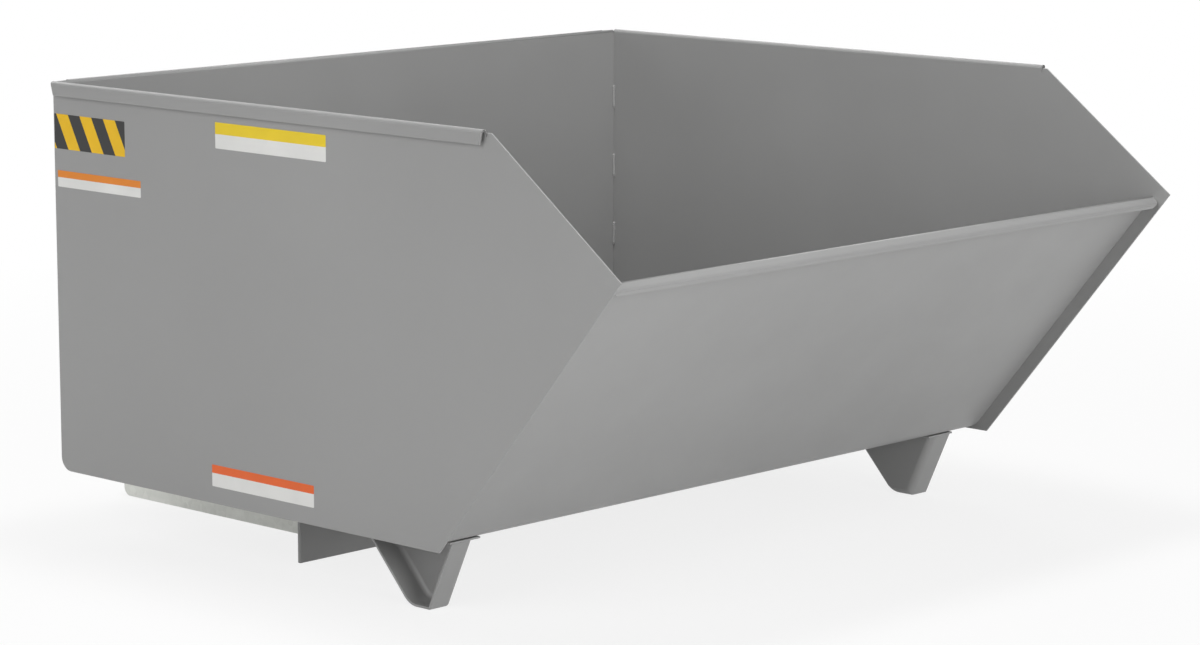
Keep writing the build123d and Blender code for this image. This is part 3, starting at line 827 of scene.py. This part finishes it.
def floor_finish():
    """A pale matt floor that fades to white away from the hopper."""
    pale = bpy.data.materials.new("pale_floor")
    pale.use_nodes = True
    nodes = pale.node_tree.nodes
    nodes.clear()
    output = nodes.new("ShaderNodeOutputMaterial")
    mixed = nodes.new("ShaderNodeMixShader")
    matt = nodes.new("ShaderNodeBsdfDiffuse")
    matt.inputs["Color"].default_value = (FLOOR_PALENESS, FLOOR_PALENESS, FLOOR_PALENESS, 1.0)
    white = nodes.new("ShaderNodeEmission")
    place = nodes.new("ShaderNodeTexCoord")
    reach = nodes.new("ShaderNodeVectorMath")
    reach.operation = "LENGTH"
    join(pale, place.outputs["Object"], reach.inputs[0])
    fade = spread(pale, reach.outputs["Value"], 1.0 - FLOOR_SHADE, 1.0, FADE_START, FADE_END)
    join(pale, reckon(pale, "MULTIPLY", seen_ray(pale), fade), mixed.inputs["Fac"])
    join(pale, matt.outputs["BSDF"], mixed.inputs[1])
    join(pale, white.outputs["Emission"], mixed.inputs[2])
    join(pale, mixed.outputs["Shader"], output.inputs["Surface"])
    return pale


def make_floor():
    """A wide floor just under the hopper."""
    shape = bmesh.new()
    bmesh.ops.create_grid(shape, x_segments=1, y_segments=1, size=FLOOR_HALF)
    bmesh.ops.translate(shape, verts=shape.verts, vec=(0.0, 0.0, -FLOOR_DROP))
    mesh = bpy.data.meshes.new("floor")
    shape.to_mesh(mesh)
    shape.free()
    mesh.materials.append(floor_finish())
    floor = bpy.data.objects.new("floor", mesh)
    bpy.context.scene.collection.objects.link(floor)


def make_world():
    """Soft even surroundings that look white."""
    world = bpy.data.worlds.new("studio")
    bpy.context.scene.world = world
    world.use_nodes = True
    nodes = world.node_tree.nodes
    nodes.clear()
    output = nodes.new("ShaderNodeOutputWorld")
    soft = nodes.new("ShaderNodeBackground")
    soft.inputs["Color"].default_value = (1.0, 1.0, 1.0, 1.0)
    soft.inputs["Strength"].default_value = WORLD_LIGHT
    white = nodes.new("ShaderNodeBackground")
    white.inputs["Color"].default_value = (1.0, 1.0, 1.0, 1.0)
    mixed = nodes.new("ShaderNodeMixShader")
    join(world, seen_ray(world), mixed.inputs["Fac"])
    join(world, soft.outputs["Background"], mixed.inputs[1])
    join(world, white.outputs["Background"], mixed.inputs[2])
    join(world, mixed.outputs["Shader"], output.inputs["Surface"])


def back_vector(azimuth, elevation):
    """From the hopper towards a viewpoint: azimuth 0 is on its right, 90 in front of it."""
    turn, rise = math.radians(azimuth), math.radians(elevation)
    return Vector((math.sin(turn) * math.cos(rise), -math.cos(turn) * math.cos(rise), math.sin(rise)))


def aim(holder, target, azimuth, elevation, distance):
    """Puts a lamp or a camera at a distance from its target and turns it there."""
    back = back_vector(azimuth, elevation)
    holder.location = target + back * distance
    holder.rotation_euler = (-back).to_track_quat("-Z", "Y").to_euler()
    bpy.context.scene.collection.objects.link(holder)


def softbox(name, azimuth, elevation, power, distance=LAMP_DISTANCE, size=LAMP_SIZE):
    """A square area lamp that looks at the middle of the hopper."""
    lamp = bpy.data.lights.new(name, "AREA")
    lamp.shape = "SQUARE"
    lamp.size = size
    lamp.energy = power
    aim(bpy.data.objects.new(name, lamp), (cad_low + cad_high) / 2, azimuth, elevation, distance)


def make_camera():
    """The photograph's viewpoint."""
    camera = bpy.data.objects.new("camera", bpy.data.cameras.new("camera"))
    camera.data.sensor_width = SENSOR_WIDTH
    camera.data.lens = FOCAL_PIXELS * SENSOR_WIDTH / PHOTO_WIDTH
    aim(camera, VIEW_AIM, VIEW_AZIMUTH, VIEW_ELEVATION, VIEW_DISTANCE)
    bpy.context.scene.camera = camera


make_floor()
make_world()
softbox("overhead", azimuth=45.0, elevation=89.0, power=58.0, distance=3.2, size=0.9)
softbox("front_low", azimuth=80.0, elevation=8.0, power=110.0)
softbox("front_mid", azimuth=90.0, elevation=30.0, power=20.0)
softbox("side_mid", azimuth=5.0, elevation=25.0, power=70.0)
softbox("side_floor", azimuth=8.0, elevation=-3.0, power=4.5, distance=3.0, size=0.5)
softbox("rear", azimuth=270.0, elevation=30.0, power=50.0)
softbox("left_rear", azimuth=215.0, elevation=35.0, power=56.0)
make_camera()
bpy.context.scene.view_settings.view_transform = "Standard"
